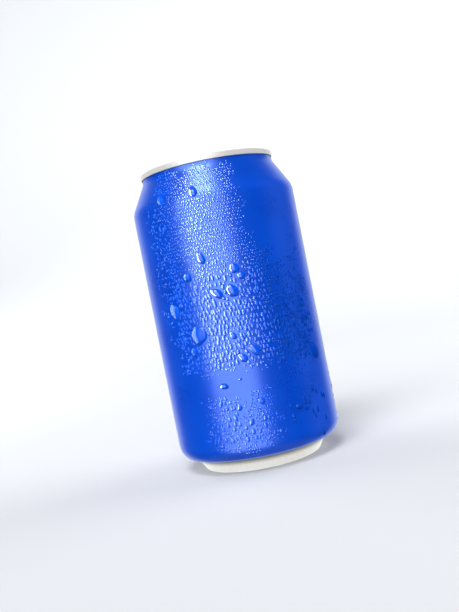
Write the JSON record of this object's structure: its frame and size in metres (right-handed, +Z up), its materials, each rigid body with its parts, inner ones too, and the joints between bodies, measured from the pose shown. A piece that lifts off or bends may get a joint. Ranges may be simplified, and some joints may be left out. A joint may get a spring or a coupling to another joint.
{
  "type": "soda can",
  "caption": "Shut drinks can standing upright: drawn metal body with a necked shoulder and domed base, seamed lid and stay-on pull tab, wet with condensation.",
  "frame": {"origin": "on the floor, at the centre of the stand ring under the can", "axes": "+Z up along the can's axis; the lid's mouth and the tab's nose lie towards -Y, the tab's tail towards +Y"},
  "size_m": [0.0661, 0.066, 0.1222],
  "materials": {
    "lacquered_wall": "satin blue lacquer over metal, bare at the foot",
    "bare_lid": "bright satin",
    "bare_tab": "bright satin"
  },
  "bodies": {
    "root": {"can_body": "lacquered_wall", "can_end": "bare_lid", "pull_tab": "bare_tab"}
  },
  "joints": []
}
